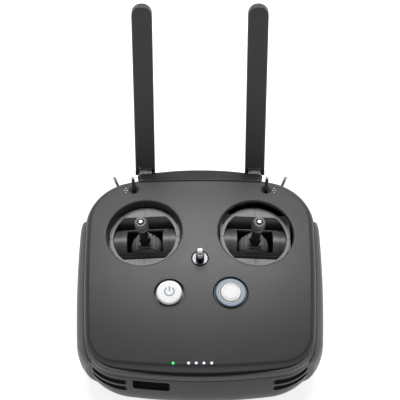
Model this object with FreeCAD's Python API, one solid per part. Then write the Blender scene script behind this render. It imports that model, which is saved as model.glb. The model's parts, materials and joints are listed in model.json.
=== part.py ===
"""Hand-held radio transmitter for a drone, lying on its back.

Millimetres. +Z comes up out of the face, +X is to the holder's right and +Y points away from the holder,
towards the antennas. The origin is on the flat back, under the middle of the body.
Left-hand pieces are modelled at their place and right-hand ones are their mirror images.
"""
import FreeCAD
import Part
import math
import os

V = FreeCAD.Vector
UP = V(0, 0, 1)
ACROSS = V(1, 0, 0)
AWAY = V(0, 1, 0)

# Body outline at the seam between the two shells
SEAM_Z = 44.0
BOTTOM_Y, BOTTOM_R = -76.5, 390.0
TOP_Y, TOP_R = 92.1, 313.0
SIDE_X, SIDE_Y, SIDE_R = 87.4, 28.0, 1150.0
LOW_CORNER_R, TOP_CORNER_R = 28.0, 39.0
WALL = 2.4
GROOVE_HALF, GROOVE_DEPTH = 0.3, 0.5

# Domed face
FACE_Z = 64.0
DOME_R, DOME_Y = 520.0, 8.0
BAND_TOP = 50.5
PLATE_INSET, PLATE_TAPER = 0.45, 2.2
PLATE_BOTTOM = BOTTOM_Y + 2.2
RIM_FILLET = 5.0
LIP_FILLET = 1.2

# Rear shell
BULGE = 3.3
BULGE_Z = 22.0
UNDER_INSET = 16.0
FLOOR = 2.4

# Side grips
GRIP_X, GRIP_Y, GRIP_R = 92.7, 12.0, 900.0
GRIP_END_HIGH, GRIP_END_LOW, GRIP_END_R = 57.0, -61.0, 6.0

# Stick units, in a frame tilted outwards with its origin where the stick pivots
STICK_X, STICK_Y, RING_Z = 41.9, 38.0, 52.0
STICK_TILT, WELL_TILT = 5.0, 2.5
RING_H = 16.0
WELL_GAP, WELL_FLARE, WELL_DEEP = 0.9, 2.1, 14.0
RING_R, RING_EDGE, RING_CHORD, RING_T = 26.3, 2.4, 18.1, 1.2
DRUM_R, DRUM_WALL, DRUM_HALF = 14.0, 1.7, 23.6
DRUM_LINE = 18.4
WINDOW_X, WINDOW_Y = 13.7, 9.2
DOME_BALL_R = 11.8
PIN_GAP = 0.05
FRAME_X, FRAME_Y, FRAME_LOW = 26.8, 20.6, -16.6
KNOB_R, KNOB_LOW, KNOB_TOP = 4.9, 31.0, 40.6

# Buttons and lever on the face
BUTTON_X, BUTTON_Y = 22.6, -14.1
DISH_R, DISH_DEPTH = 12.9, 1.6
POWER_GROOVE_R, POWER_GROOVE_DEPTH = 11.3, 3.3
POWER_CAP_R, HOME_CAP_R = 9.4, 7.4
HOME_RING_IN, HOME_RING_OUT = 7.8, 10.9
LEVER_Y, LEVER_DISH_R = 14.0, 6.3

# Status lenses
LENS_Y, LENS_R = -68.3, 1.0
STATUS_X = -19.3
CHARGE_X0, CHARGE_STEP = -8.25, 5.55

# Toggles
FRONT_TOGGLE_X, FRONT_TOGGLE_Y, FRONT_TOGGLE_LEAN = -50.5, 77.4, 19.0
REAR_TOGGLE_PIVOT = V(-61.1, 84.7, 38.4)
REAR_TOGGLE_TURN, REAR_BUSH_RISE, REAR_LEVER_RISE = 31.0, 25.0, 40.0
REAR_LEVER_LENGTH = 15.4
REAR_BUSH_R = 3.4

# Antennas and the housing between them
HOUSING_HALF, HOUSING_FRONT_Y, HOUSING_OUT = 48.2, 84.3, 3.2
HOUSING_CORNER_IN, HOUSING_CORNER_OUT, HOUSING_ROUND = 5.4, 1.3, 1.1
HOUSING_LOW, HOUSING_PROUD = 30.0, 0.5
ANTENNA_X, HINGE_Y, HINGE_Z = 42.4, 99.4, 49.5
ANTENNA_RISE = 66.0
ANTENNA_W, ANTENNA_T, ANTENNA_L = 15.1, 7.6, 145.0
TONGUE_W, TONGUE_R, FORK_GAP, FORK_DEEP = 8.8, 3.4, 0.3, 5.2
HINGE_PIN_R = 1.2
SWIVEL_R = 4.5

# Back
COVER_X, COVER_Y0, COVER_Y1 = 40.0, -58.0, 14.0
COVER_T = 2.1
SCREWS = [(54.0, -56.0), (54.0, 6.0), (33.0, 71.0)]
COVER_SCREWS = [(36.6, -54.6), (36.6, 10.6)]
BOSS_R = 3.6
BOARD_Z, BOARD_T = 50.0, 1.6
LEAD_R = 0.65
LEAD_ROUTE = [V(-22, 70, 34.05), V(-22, 70, 40), V(-29, 64.5, 45), V(-40.5, 65.0, 49.0), V(-42.4, 72.5, 49.5),
              V(-42.4, 82.0, 49.5)]

# Openings in the lower wall
VENT_ROWS = [(34.9, 40.2), (26.9, 32.4)]
PORT_X0, PORT_X1, PORT_Z0, PORT_Z1 = -49.0, -22.0, 31.5, 41.2

GAP = 0.3
SNUG = 0.1


# ---------------------------------------------------------------- helpers

def circle_meet(c1, r1, c2, r2, side):
    """Point where two circles in one plane cross; side picks which of the two."""
    span = c2 - c1
    along = (r1 * r1 - r2 * r2 + span.Length ** 2) / (2 * span.Length)
    across = math.sqrt(r1 * r1 - along * along) * side
    return c1 + span * (along / span.Length) + V(-span.y, span.x, 0) * (across / span.Length)


def arc_between(centre, radius, start, end):
    """Arc about a centre from start to end, by the short way."""
    middle = (start - centre).normalize() + (end - centre).normalize()
    return Part.Arc(start, centre + middle.normalize() * radius, end).toShape()


def outline(grow=0.0, z=0.0, corner_extra=0.0, side=(SIDE_X, SIDE_Y, SIDE_R), bottom=BOTTOM_Y):
    """Closed outline of bowed sides and round corners, grown outwards, at a height."""
    side_x, side_y, side_r = side
    low, top = V(0, bottom + BOTTOM_R, 0), V(0, TOP_Y - TOP_R, 0)
    right = V(side_x - side_r, side_y, 0)
    low_r, top_r = LOW_CORNER_R + corner_extra, TOP_CORNER_R
    corner = circle_meet(right, side_r - low_r, low, BOTTOM_R - low_r, -1)
    shoulder = circle_meet(right, side_r - top_r, top, TOP_R - top_r, 1)
    touch = []
    for centre, radius, spot in ((low, BOTTOM_R, corner), (right, side_r, corner),
                                 (right, side_r, shoulder), (top, TOP_R, shoulder)):
        touch.append(centre + (spot - centre).normalize() * (radius + grow))
    flip = [V(-p.x, p.y, 0) for p in touch]
    edges = [arc_between(low, BOTTOM_R + grow, flip[0], touch[0]),
             arc_between(corner, low_r + grow, touch[0], touch[1]),
             arc_between(right, side_r + grow, touch[1], touch[2]),
             arc_between(shoulder, top_r + grow, touch[2], touch[3]),
             arc_between(top, TOP_R + grow, touch[3], flip[3]),
             arc_between(mirrored_point(shoulder), top_r + grow, flip[3], flip[2]),
             arc_between(mirrored_point(right), side_r + grow, flip[2], flip[1]),
             arc_between(mirrored_point(corner), low_r + grow, flip[1], flip[0])]
    wire = Part.Wire(edges)
    wire.translate(V(0, 0, z))
    return wire


def mirrored_point(p):
    return V(-p.x, p.y, p.z)


def mirrored(shape):
    return shape.mirror(V(0, 0, 0), ACROSS)


def both(shape):
    """The shape and its mirror image, as one group of solids."""
    return Part.makeCompound(shape.Solids + mirrored(shape).Solids)


def prism(z0, z1, grow0, grow1, bottom=BOTTOM_Y):
    """Solid between two outlines, with straight walls."""
    wires = [outline(grow0, z0, bottom=bottom), outline(grow1, z1, bottom=bottom)]
    return Part.makeLoft(wires, True, True)


def dome(rise=0.0):
    """Ball whose top is the face, or a surface at a distance from it."""
    return Part.makeSphere(DOME_R + rise, V(0, DOME_Y, FACE_Z - DOME_R))


def face_z(x, y):
    """Height of the domed face over a point."""
    return FACE_Z - DOME_R + math.sqrt(DOME_R ** 2 - x * x - (y - DOME_Y) ** 2)


def on_face(x, y):
    """Placement on the face with its Z square to it."""
    normal = V(x, y - DOME_Y, face_z(x, y) - FACE_Z + DOME_R).normalize()
    return FreeCAD.Placement(V(x, y, face_z(x, y)), FreeCAD.Rotation(UP, normal))


def placed(shape, placement):
    copy = shape.copy()
    copy.Placement = placement.multiply(copy.Placement)
    return copy


def rod(radius, z0, z1, x=0.0, y=0.0):
    return Part.makeCylinder(radius, z1 - z0, V(x, y, z0))


def tube(r_in, r_out, z0, z1, x=0.0, y=0.0):
    return rod(r_out, z0, z1, x, y).cut(rod(r_in, z0 - 1, z1 + 1, x, y))


def rod_x(radius, x0, x1, y=0.0, z=0.0):
    return Part.makeCylinder(radius, x1 - x0, V(x0, y, z), ACROSS)


def rod_y(radius, y0, y1, x=0.0, z=0.0):
    return Part.makeCylinder(radius, y1 - y0, V(x, y0, z), AWAY)


def box(x0, x1, y0, y1, z0, z1):
    return Part.makeBox(x1 - x0, y1 - y0, z1 - z0, V(x0, y0, z0))


def round_box(x0, x1, y0, y1, z0, z1, radius):
    """Box with its upright edges rounded."""
    solid = box(x0, x1, y0, y1, z0, z1)
    upright = [e for e in solid.Edges if abs(e.tangentAt(e.FirstParameter).z) > 0.99]
    return solid.makeFillet(radius, upright)


def fused(shapes):
    return shapes[0].multiFuse(shapes[1:]).removeSplitter()


def edges_near(shape, test):
    """Edges whose middle point passes a test."""
    found = []
    for edge in shape.Edges:
        middle = edge.valueAt((edge.FirstParameter + edge.LastParameter) / 2)
        if test(middle):
            found.append(edge)
    return found


# ---------------------------------------------------------------- casing

def rear_profile(inset=0.0, lift=0.0):
    """Heights and growths of the rear shell's wall, bulging and then turning under."""
    levels = []
    for z in (SEAM_Z, 37.0, 29.5):
        grow = BULGE * (1 - ((z - BULGE_Z) / (SEAM_Z - BULGE_Z)) ** 2)
        levels.append((z, grow - inset, 9.0 * (SEAM_Z - z) / BULGE_Z))
    for degrees in (0, 25, 48, 68, 84):
        turn = math.radians(degrees)
        z = BULGE_Z - (BULGE_Z - lift) * math.sin(turn) / math.sin(math.radians(84))
        levels.append((z, BULGE - inset - UNDER_INSET * (1 - math.cos(turn)), 9.0 + 4.0 * math.sin(turn)))
    return levels


def rear_solid(inset=0.0, lift=0.0):
    wires = [outline(grow, z, extra) for z, grow, extra in rear_profile(inset, lift)]
    return Part.makeLoft(wires, True, False)


def housing_block(spare=0.0):
    """Solid of the bar between the antennas, which curves along the top edge."""
    outer = rod(TOP_R + HOUSING_OUT + spare, HOUSING_LOW - spare, 80, 0, TOP_Y - TOP_R)
    half = HOUSING_HALF + spare
    bar = outer.common(box(-half, half, HOUSING_FRONT_Y - spare, 120, HOUSING_LOW - spare, 80))
    upright = [e for e in bar.Edges if abs(e.tangentAt(e.FirstParameter).z) > 0.99]
    at_back = [e for e in upright if e.Vertexes[0].Point.y > HOUSING_FRONT_Y + 3]
    bar = bar.makeFillet(HOUSING_CORNER_OUT, at_back)
    upright = [e for e in bar.Edges if e.Length > 30 and abs(e.tangentAt(e.FirstParameter).z) > 0.99
               and e.Vertexes[0].Point.y < HOUSING_FRONT_Y + 1 and abs(e.Vertexes[0].Point.x) > half - 1]
    return bar.makeFillet(HOUSING_CORNER_IN, upright).common(dome(HOUSING_PROUD + spare))


def swivel_bores():
    return both(rod_y(SWIVEL_R + PIN_GAP, 70, 110, -ANTENNA_X, HINGE_Z))


def make_housing():
    bar = housing_block()
    bar = bar.makeFillet(HOUSING_ROUND, edges_near(bar, lambda p: p.z > HINGE_Z + 2))
    return bar.cut(swivel_bores())


def gimbal():
    """Placement of the left stick unit."""
    lean = math.radians(STICK_TILT)
    pivot = V(-STICK_X + RING_H * math.sin(lean), STICK_Y, RING_Z - RING_H * math.cos(lean))
    return FreeCAD.Placement(pivot, FreeCAD.Rotation(AWAY, -STICK_TILT))


def stick_well(grow=0.0, floor=RING_H + 0.2):
    """Cone that opens the face over the left stick unit, down to the level of its ring."""
    foot = RING_R + WELL_GAP + grow
    cone = Part.makeCone(foot, foot + WELL_FLARE, WELL_DEEP)
    cone = fused([cone, rod(foot, -5.0, 0)])
    place = FreeCAD.Placement(V(-STICK_X, STICK_Y, RING_Z), FreeCAD.Rotation(AWAY, -WELL_TILT))
    return placed(cone, place).common(placed(rod(50, floor, 50), gimbal()))


def front_blank():
    """Outside of the front shell: a low band, a step and the domed plate with its round rim."""
    band = prism(SEAM_Z, BAND_TOP, 0, -0.5)
    band = band.makeChamfer(0.5, edges_near(band, lambda p: p.z > BAND_TOP - 0.1))
    plate = prism(SEAM_Z + 2, 72, -PLATE_INSET, -PLATE_INSET - PLATE_TAPER, PLATE_BOTTOM).common(dome())
    centre = V(0, DOME_Y, FACE_Z - DOME_R)
    rim = edges_near(plate, lambda p: abs((p - centre).Length - DOME_R) < 0.05)
    return band.fuse(plate.makeFillet(RIM_FILLET, rim))


def front_shell():
    shell = front_blank()
    cavity = prism(SEAM_Z - 1, 72, -WALL - 0.6, -WALL - 4.4, PLATE_BOTTOM).common(dome(-WALL))
    shell = shell.cut(cavity).cut(prism(SEAM_Z - 1, BAND_TOP - 1.6, -WALL, -WALL)).cut(seam_groove())
    adds = [stick_well(1.5), mirrored(stick_well(1.5))]
    collar_floor = -4.4
    for x, y in SCREWS:
        adds += [rod(BOSS_R, SEAM_Z + 0.2, 63, x, y), rod(BOSS_R, SEAM_Z + 0.2, 63, -x, y)]
    for x, y in ((46, -30), (46, -8)):
        adds += [rod(2.2, BOARD_Z + BOARD_T, 63, x, y), rod(2.2, BOARD_Z + BOARD_T, 63, -x, y)]
    for x in (-BUTTON_X, BUTTON_X):
        adds.append(placed(rod(DISH_R + 1.0, collar_floor, -1.0), on_face(x, BUTTON_Y)))
    adds.append(placed(rod(LEVER_DISH_R + 1.2, collar_floor, -1.0), on_face(0, LEVER_Y)))
    keep = prism(SEAM_Z - 1, 72, -1.6, -5.6, PLATE_BOTTOM).common(dome(-0.8))
    shell = shell.multiFuse([a.common(keep) for a in adds])
    shell = shell.cut(Part.makeCompound(face_openings())).removeSplitter()
    return shell.makeFillet(LIP_FILLET, edges_near(shell, on_well_lip))


def on_well_lip(p):
    """True for points where a stick well meets the face."""
    from_axis = math.hypot(abs(p.x) - STICK_X, p.y - STICK_Y)
    return RING_R < from_axis < RING_R + 4 and abs(p.z - face_z(p.x, p.y)) < 0.05


def seam_groove():
    """Ring that leaves a fine dark line where the two shells meet."""
    outside = prism(SEAM_Z - GROOVE_HALF, SEAM_Z + GROOVE_HALF, 4, 4)
    return outside.cut(prism(SEAM_Z - 1, SEAM_Z + 1, -GROOVE_DEPTH, -GROOVE_DEPTH))


def face_openings():
    """Everything that is cut out of the front shell."""
    cuts = [stick_well(0, RING_H - 0.4), mirrored(stick_well(0, RING_H - 0.4)), housing_block(0.15)]
    cuts += swivel_bores().Solids
    dish = Part.makeCone(DISH_R - 0.6, DISH_R + 1.6, 2.2 + DISH_DEPTH, V(0, 0, -DISH_DEPTH))
    for x, hole in ((-BUTTON_X, POWER_CAP_R + 0.8), (BUTTON_X, HOME_CAP_R + GAP)):
        cuts += [placed(dish, on_face(x, BUTTON_Y)), placed(rod(hole, -9, 3), on_face(x, BUTTON_Y))]
    cuts.append(placed(rod(POWER_GROOVE_R, -POWER_GROOVE_DEPTH, 3), on_face(-BUTTON_X, BUTTON_Y)))
    lever_dish = Part.makeCone(LEVER_DISH_R - 0.2, LEVER_DISH_R + 0.8, 2.6, V(0, 0, -1.4))
    cuts += [placed(lever_dish, on_face(0, LEVER_Y)), placed(rod(4.6, -9, 3), on_face(0, LEVER_Y))]
    for x in [STATUS_X] + [CHARGE_X0 + i * CHARGE_STEP for i in range(4)]:
        cuts.append(placed(rod(LENS_R + 0.06, -9, 3), on_face(x, LENS_Y)))
    slot = slot_prism(1.65, 3.1, -9, 3)
    bowl = Part.makeSphere(9.0, V(0, 0, 8.0))
    cuts += both(placed(slot.fuse(bowl), on_face(FRONT_TOGGLE_X, FRONT_TOGGLE_Y))).Solids
    for x, y in SCREWS:
        cuts += [rod(1.3, 40, 54, x, y), rod(1.3, 40, 54, -x, y)]
    return cuts


def slot_prism(half_width, half_length, z0, z1):
    """Upright slot with round ends, long in Y."""
    flat = half_length - half_width
    return fused([box(-half_width, half_width, -flat, flat, z0, z1),
                  rod(half_width, z0, z1, 0, flat), rod(half_width, z0, z1, 0, -flat)])


def vent_slot(z_low, z_high, grow_out, grow_in):
    """Slot that follows the left lower corner, with rounded ends."""
    ring = prism(z_low, z_high, grow_out, grow_out).cut(prism(z_low - 1, z_high + 1, grow_in, grow_in))
    centre = V(-55, -46, 0)
    wedge = []
    for degrees in (215.0, 273.0):
        a = math.radians(degrees)
        wedge.append(centre + V(math.cos(a), math.sin(a), 0) * 60)
    sector = Part.Face(Part.makePolygon([centre, wedge[0], V(-130, -110, 0), wedge[1], centre]))
    sector.translate(V(0, 0, z_low - 1))
    slot = ring.common(sector.extrude(V(0, 0, z_high - z_low + 2)))
    ends = [e for e in slot.Edges if e.Curve.TypeId == "Part::GeomLine"
            and abs(e.tangentAt(e.FirstParameter).z) < 0.01]
    return slot.makeFillet((z_high - z_low) * 0.42, ends)


def rear_direction(rise):
    """Direction square to the left shoulder, raised by an angle."""
    turn, up = math.radians(REAR_TOGGLE_TURN), math.radians(rise)
    return V(-math.sin(turn) * math.cos(up), math.cos(turn) * math.cos(up), math.sin(up))


def rear_shell():
    shell = rear_solid().cut(rear_solid(WALL, FLOOR))
    ledge = box(-43, 43, -61, 17, FLOOR - 0.5, 4.2)
    adds = [ledge]
    for x, y in SCREWS:
        adds += [rod(BOSS_R, 1, SEAM_Z - 0.1, x, y), rod(BOSS_R, 1, SEAM_Z - 0.1, -x, y)]
    adds += [rod(2.6, 1, 30.0, 19, 74), rod(2.6, 1, 30.0, -19, 74)]
    pad = placed(rod(6.2, -1.5, 3.0), rear_bush_place())
    inner = rear_solid(0.5, 0.5)
    pads = both(pad.common(box(-120, 0, 0, 120, 0, SEAM_Z - 0.1)))
    shell = shell.multiFuse([a.common(inner) for a in adds] + pads.Solids)
    shell = shell.cut(Part.makeCompound(rear_openings() + [seam_groove()]))
    return shell.removeSplitter()


def rear_openings():
    """Everything that is cut out of the rear shell."""
    cuts = [round_box(-COVER_X - GAP, COVER_X + GAP, COVER_Y0 - GAP, COVER_Y1 + GAP, -1, COVER_T + 0.1, 4.3),
            round_box(-33, 33, COVER_Y0 + 7, COVER_Y1 - 7, -1, 10, 3.0),
            housing_block(0.15)] + swivel_bores().Solids
    for x, y in SCREWS:
        for sx in (-x, x):
            cuts += [rod(1.7, -1, 50, sx, y), rod(3.3, -1, 4.0, sx, y)]
    for x, y in COVER_SCREWS:
        cuts += [rod(0.85, -1, 10, x, y), rod(0.85, -1, 10, -x, y)]
    for low, high in VENT_ROWS:
        cuts += both(vent_slot(low, high, 8.0, -6.0)).Solids
    cuts.append(port_block(0, -92, -60))
    bush_hole = fused([rod(REAR_BUSH_R + SNUG, -12, 10), rod(5.6, 3.0, 10)])
    return cuts + both(placed(bush_hole, rear_bush_place())).Solids


def rear_bush_place():
    """Placement at the left rear toggle's pivot, with Z out along its bushing."""
    return FreeCAD.Placement(REAR_TOGGLE_PIVOT, FreeCAD.Rotation(UP, rear_direction(REAR_BUSH_RISE)))


def port_block(grow, y0, y1):
    """Block with round corners that runs in through the lower wall."""
    solid = box(PORT_X0 - grow, PORT_X1 + grow, y0, y1, PORT_Z0 - grow, PORT_Z1 + grow)
    along = [e for e in solid.Edges if abs(e.tangentAt(e.FirstParameter).y) > 0.99]
    return solid.makeFillet(2.2 + grow, along)


def grip():
    """Left grip: a soft pad that bulges over the side of the rear shell."""
    side = (GRIP_X, GRIP_Y, GRIP_R)
    levels = [(43.2, -3.4), (41.5, -1.4), (37.0, -0.2), (29.0, 0.0), (21.0, -0.5), (14.0, -2.2), (8.0, -5.4),
              (3.6, -10.0)]
    body = Part.makeLoft([outline(grow, z, 2.0, side) for z, grow in levels], True, False)
    body = body.cut(rear_solid(-SNUG, -SNUG))
    span = round_box(-GRIP_X - 0.9, -60, GRIP_END_LOW, GRIP_END_HIGH, 0, SEAM_Z, GRIP_END_R)
    return max(body.common(span).Solids, key=lambda s: s.Volume)


def vent_grille():
    """Slatted plate behind the left vent slots."""
    ring = prism(25.4, 42.0, -4.0, -4.0).cut(prism(24, 44, -5.6, -5.6))
    plate = ring.common(box(-79, -53.5, -80, -58, 0, 60))
    bars = []
    for i in range(6):
        z = 27.2 + i * 2.45
        bar = prism(z, z + 1.1, -3.0, -3.0).cut(prism(z - 1, z + 2, -4.6, -4.6))
        bars.append(bar.common(box(-78, -54.5, -80, -59, 0, 60)))
    return max(fused([plate] + bars).Solids, key=lambda s: s.Volume)


# ---------------------------------------------------------------- stick unit, in its own frame

def ring_plate():
    """Light ring: a disc whose opening is a circle cut by two chords."""
    disc = rod(RING_R, RING_H - RING_T, RING_H)
    opening = rod(RING_R - RING_EDGE, 0, 30).common(box(-40, 40, -RING_CHORD, RING_CHORD, 0, 30))
    ring = disc.cut(opening)
    marks = [box(-0.35, 0.35, -40, 40, RING_H - 0.35, 20),
             box(-40, 40, -0.35, 0.35, RING_H - 0.35, 20)]
    return ring.cut(Part.makeCompound(marks))


def stick_frame():
    """Open box under the ring that carries the drum's two pins."""
    top = RING_H - RING_T
    outer = round_box(-FRAME_X, FRAME_X, -FRAME_Y, FRAME_Y, FRAME_LOW, top, 3.0)
    in_x, in_y = FRAME_X - 2.5, FRAME_Y - 1.6
    inner = round_box(-in_x, in_x, -in_y, in_y, FRAME_LOW + 1.6, top + 1, 1.4)
    return outer.cut(inner).cut(rod_x(2.0 + PIN_GAP, -40, 40))


def yoke():
    """Ribbed drum with a window, on two pins across the unit."""
    drum = rod_x(DRUM_R, -DRUM_HALF, DRUM_HALF)
    hollow = rod_x(DRUM_R - DRUM_WALL, -DRUM_LINE + 1.5, DRUM_LINE - 1.5)
    cuts = [hollow, box(-WINDOW_X, WINDOW_X, -WINDOW_Y, WINDOW_Y, -30, 30),
            rod_y(1.6 + PIN_GAP, -30, 30)]
    for x in (-DRUM_LINE, DRUM_LINE):
        cuts.append(rod_x(DRUM_R + 1, x - 0.3, x + 0.3).cut(rod_x(DRUM_R - 0.5, x - 1, x + 1)))
    for i in range(6):
        x = -DRUM_LINE - 0.9 - i * 0.75
        cuts.append(rod_x(DRUM_R + 1, x - 0.17, x + 0.17).cut(rod_x(DRUM_R - 0.25, x - 1, x + 1)))
    for angle in (-52, 52):
        a = math.radians(angle)
        y, z = DRUM_R * math.sin(a), DRUM_R * math.cos(a)
        cuts.append(box(-DRUM_HALF - 1, DRUM_HALF + 1, y - 0.3, y + 0.3, z - 0.3, z + 0.3))
    body = drum.cut(Part.makeCompound(cuts))
    pins = [rod_x(2.0, DRUM_HALF - 1, FRAME_X + 1.2), rod_x(2.0, -FRAME_X - 1.2, -DRUM_HALF + 1)]
    return fused([body] + pins)


def inner_dome():
    """Ball in the drum, grooved into petals, that turns on two pins fore and aft."""
    ball = Part.makeSphere(DOME_BALL_R, V(0, 0, 0)).common(box(-20, 20, -20, 20, -4.0, 20))
    cuts = []
    shell = Part.makeSphere(DOME_BALL_R + 2).cut(Part.makeSphere(DOME_BALL_R - 0.9))
    for offset in (-7.6, -5.4, 5.4, 7.6):
        cuts.append(shell.common(box(offset - 0.3, offset + 0.3, -20, 20, -4, 20)))
    for offset in (-6.2, 6.2):
        cuts.append(shell.common(box(-20, 20, offset - 0.3, offset + 0.3, -4, 20)))
    cuts.append(rod(2.1, 3.0, 30))
    body = ball.cut(Part.makeCompound(cuts))
    pins = [rod_y(1.6, 9, DRUM_R - 0.3), rod_y(1.6, -DRUM_R + 0.3, -9)]
    return fused([body] + pins)


def stick_shaft():
    """Black shaft with a square foot and a conical collar."""
    foot = round_box(-4.9, 4.9, -4.9, 4.9, DOME_BALL_R + 0.05, DOME_BALL_R + 1.25, 0.8)
    collar = Part.makeCone(4.5, 3.7, 6.0, V(0, 0, DOME_BALL_R + 1.25))
    ring = rod(4.3, 18.0, 19.6)
    stem = Part.makeCone(3.6, 3.1, KNOB_LOW - 19.0, V(0, 0, 19.0))
    spigot = rod(1.8, 3.5, 20.0)
    thread = rod(1.8, KNOB_LOW - 1, KNOB_TOP - 2.0)
    return fused([spigot, foot, collar, ring, stem, thread])


def knob():
    """Knurled metal grip: two drums with a serrated crown."""
    profile = [V(1.85, 0, KNOB_LOW), V(4.3, 0, KNOB_LOW), V(KNOB_R, 0, KNOB_LOW + 0.6),
               V(KNOB_R, 0, 35.0), V(4.5, 0, 35.3), V(4.5, 0, 35.8), V(KNOB_R - 0.1, 0, 36.1),
               V(KNOB_R - 0.1, 0, 39.6), V(4.1, 0, KNOB_TOP), V(2.6, 0, KNOB_TOP), V(2.2, 0, 39.4),
               V(1.85, 0, 39.4)]
    body = Part.Face(Part.makePolygon(profile + [profile[0]])).revolve(V(0, 0, 0), UP, 360)
    notches = []
    for i in range(12):
        notch = box(2.4, 7.0, -0.35, 0.35, 39.7, 45)
        notch.rotate(V(0, 0, 0), UP, 30 * i)
        notches.append(notch)
    return body.cut(Part.makeCompound(notches))


def crown_pin():
    """Bright screw in the middle of the grip's crown."""
    head = rod(1.9, 39.5, 41.3)
    head = head.makeFillet(0.7, edges_near(head, lambda p: p.z > 41.2))
    return head


def stick_sensor():
    """Position sensor on the frame's outer cheek and another on its far wall."""
    side = round_box(-FRAME_X - 6.0, -FRAME_X - 1.6, -6, 6, -6, 6, 0.6)
    far = round_box(-6, 6, FRAME_Y + 0.3, FRAME_Y + 4.6, -12, 0, 0.6)
    return Part.makeCompound([side, far])


def stick_springs():
    """Two return springs beside the drum, as the closed outer form of their coils."""
    return Part.makeCompound([tube(1.2, 2.0, FRAME_LOW + 2.0, -5.0, x, 16.4) for x in (-21.0, 21.0)])


# ---------------------------------------------------------------- buttons, lever and lenses

def power_button():
    cap = rod(POWER_CAP_R, -6.0, 1.7)
    cap = cap.makeFillet(1.2, edges_near(cap, lambda p: p.z > 1.6))
    flange = rod(DISH_R - 1.3, -7.4, -6.0)
    return cap.fuse(flange).removeSplitter()


def home_button():
    cap = rod(HOME_CAP_R, -6.0, 1.5)
    cap = cap.makeFillet(0.8, edges_near(cap, lambda p: p.z > 1.4))
    groove = tube(5.6, 6.1, 1.15, 3)
    flange = rod(DISH_R - 1.3, -7.4, -6.0)
    return cap.fuse(flange).cut(groove).removeSplitter()


def home_ring():
    ring = tube(HOME_RING_IN, HOME_RING_OUT, -DISH_DEPTH + 0.02, 0.9)
    return ring.makeFillet(0.5, edges_near(ring, lambda p: p.z > 0.8))


def tact_switch():
    return fused([box(-3, 3, -3, 3, 0, 1.5), rod(1.6, 1.0, 2.0)])


def landing_lever():
    """Flat lever on a cross pin, with a broad rounded end."""
    stem = round_box(-1.9, 1.9, -1.2, 1.2, -6.0, 7.0, 0.8)
    blade = box(-2.0, 2.0, -1.35, 1.35, 4.0, 13.3)
    blade = blade.makeFillet(1.0, [e for e in blade.Edges if abs(e.tangentAt(e.FirstParameter).z) > 0.9])
    blade = blade.makeFillet(0.9, edges_near(blade, lambda p: p.z > 13.2))
    hub = rod_x(2.0, -2.6, 2.6, 0, -6.0)
    pin = rod_x(0.9, -4.4, 4.4, 0, -6.0)
    return fused([stem, blade, hub, pin])


def lever_bezel():
    """Bright ring round the lever, with a slot for it to swing in."""
    ring = rod(LEVER_DISH_R - 0.4, -1.38, 0.1)
    ring = ring.makeFillet(0.6, edges_near(ring, lambda p: p.z > 0.05))
    return ring.cut(slot_prism(2.9, 4.7, -3, 3))


def lever_switch():
    """Switch body under the lever, with a slot down its middle and ears for the pin."""
    body = round_box(-6.0, 6.0, -6.5, 6.5, -15.0, -4.6, 0.8)
    return body.cut(box(-3.0, 3.0, -5.0, 5.0, -9.0, 0)).cut(rod_x(0.9 + PIN_GAP, -5.0, 5.0, 0, -6.0))


def lens(radius, depth):
    solid = rod(radius, -depth, 0.15)
    return solid.makeFillet(0.12, edges_near(solid, lambda p: p.z > 0.1))


# ---------------------------------------------------------------- toggles

def front_toggle():
    """Thin black lever on a ball, with a bright round tip."""
    lever = Part.makeCone(1.45, 1.2, 14.0, V(0, 0, 0))
    tip = Part.makeSphere(1.45, V(0, 0, 14.6))
    ball = Part.makeSphere(2.0, V(0, 0, 0))
    return fused([lever, tip, ball])


def front_switch():
    """Switch body under the face, open above its ball."""
    body = round_box(-4.0, 3.2, -6.0, 3.6, -9.0, 1.6, 0.6)
    socket = Part.makeSphere(2.0 + PIN_GAP + 0.3, V(0, 0, 0))
    mouth = Part.makeCone(1.9, 3.4, 6.0, V(0, 0, -1.0))
    return body.cut(socket).cut(mouth).cut(box(-2.2, 2.2, -4.0, 4.0, -5.0, 0))


def rear_toggle():
    """Chrome bat lever on a ball."""
    lever = Part.makeCone(1.1, 1.45, REAR_LEVER_LENGTH - 1.45, V(0, 0, 0))
    tip = Part.makeSphere(1.45, V(0, 0, REAR_LEVER_LENGTH - 1.45))
    ball = Part.makeSphere(1.7, V(0, 0, 0))
    return fused([lever, tip, ball])


def rear_switch():
    """Switch body with the bushing that comes out through the rear shell."""
    bushing = rod(REAR_BUSH_R, -3.0, 4.8)
    body = round_box(-4.0, 4.0, -4.5, 4.5, -11.5, -2.4, 0.6)
    well = Part.makeCone(1.9, 2.9, 5.0, V(0, 0, 0))
    return body.fuse(bushing).removeSplitter().cut(rod(1.9, -4.5, 0)).cut(well)


def hex_nut():
    corner_r, foot = 4.6, 3.08
    turns = [math.radians(60 * i) for i in range(7)]
    corners = [V(corner_r * math.cos(a), corner_r * math.sin(a), foot) for a in turns]
    nut = Part.Face(Part.makePolygon(corners)).extrude(V(0, 0, 1.5))
    return nut.cut(rod(REAR_BUSH_R + 0.03, 0, 8))


# ---------------------------------------------------------------- antennas

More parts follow.
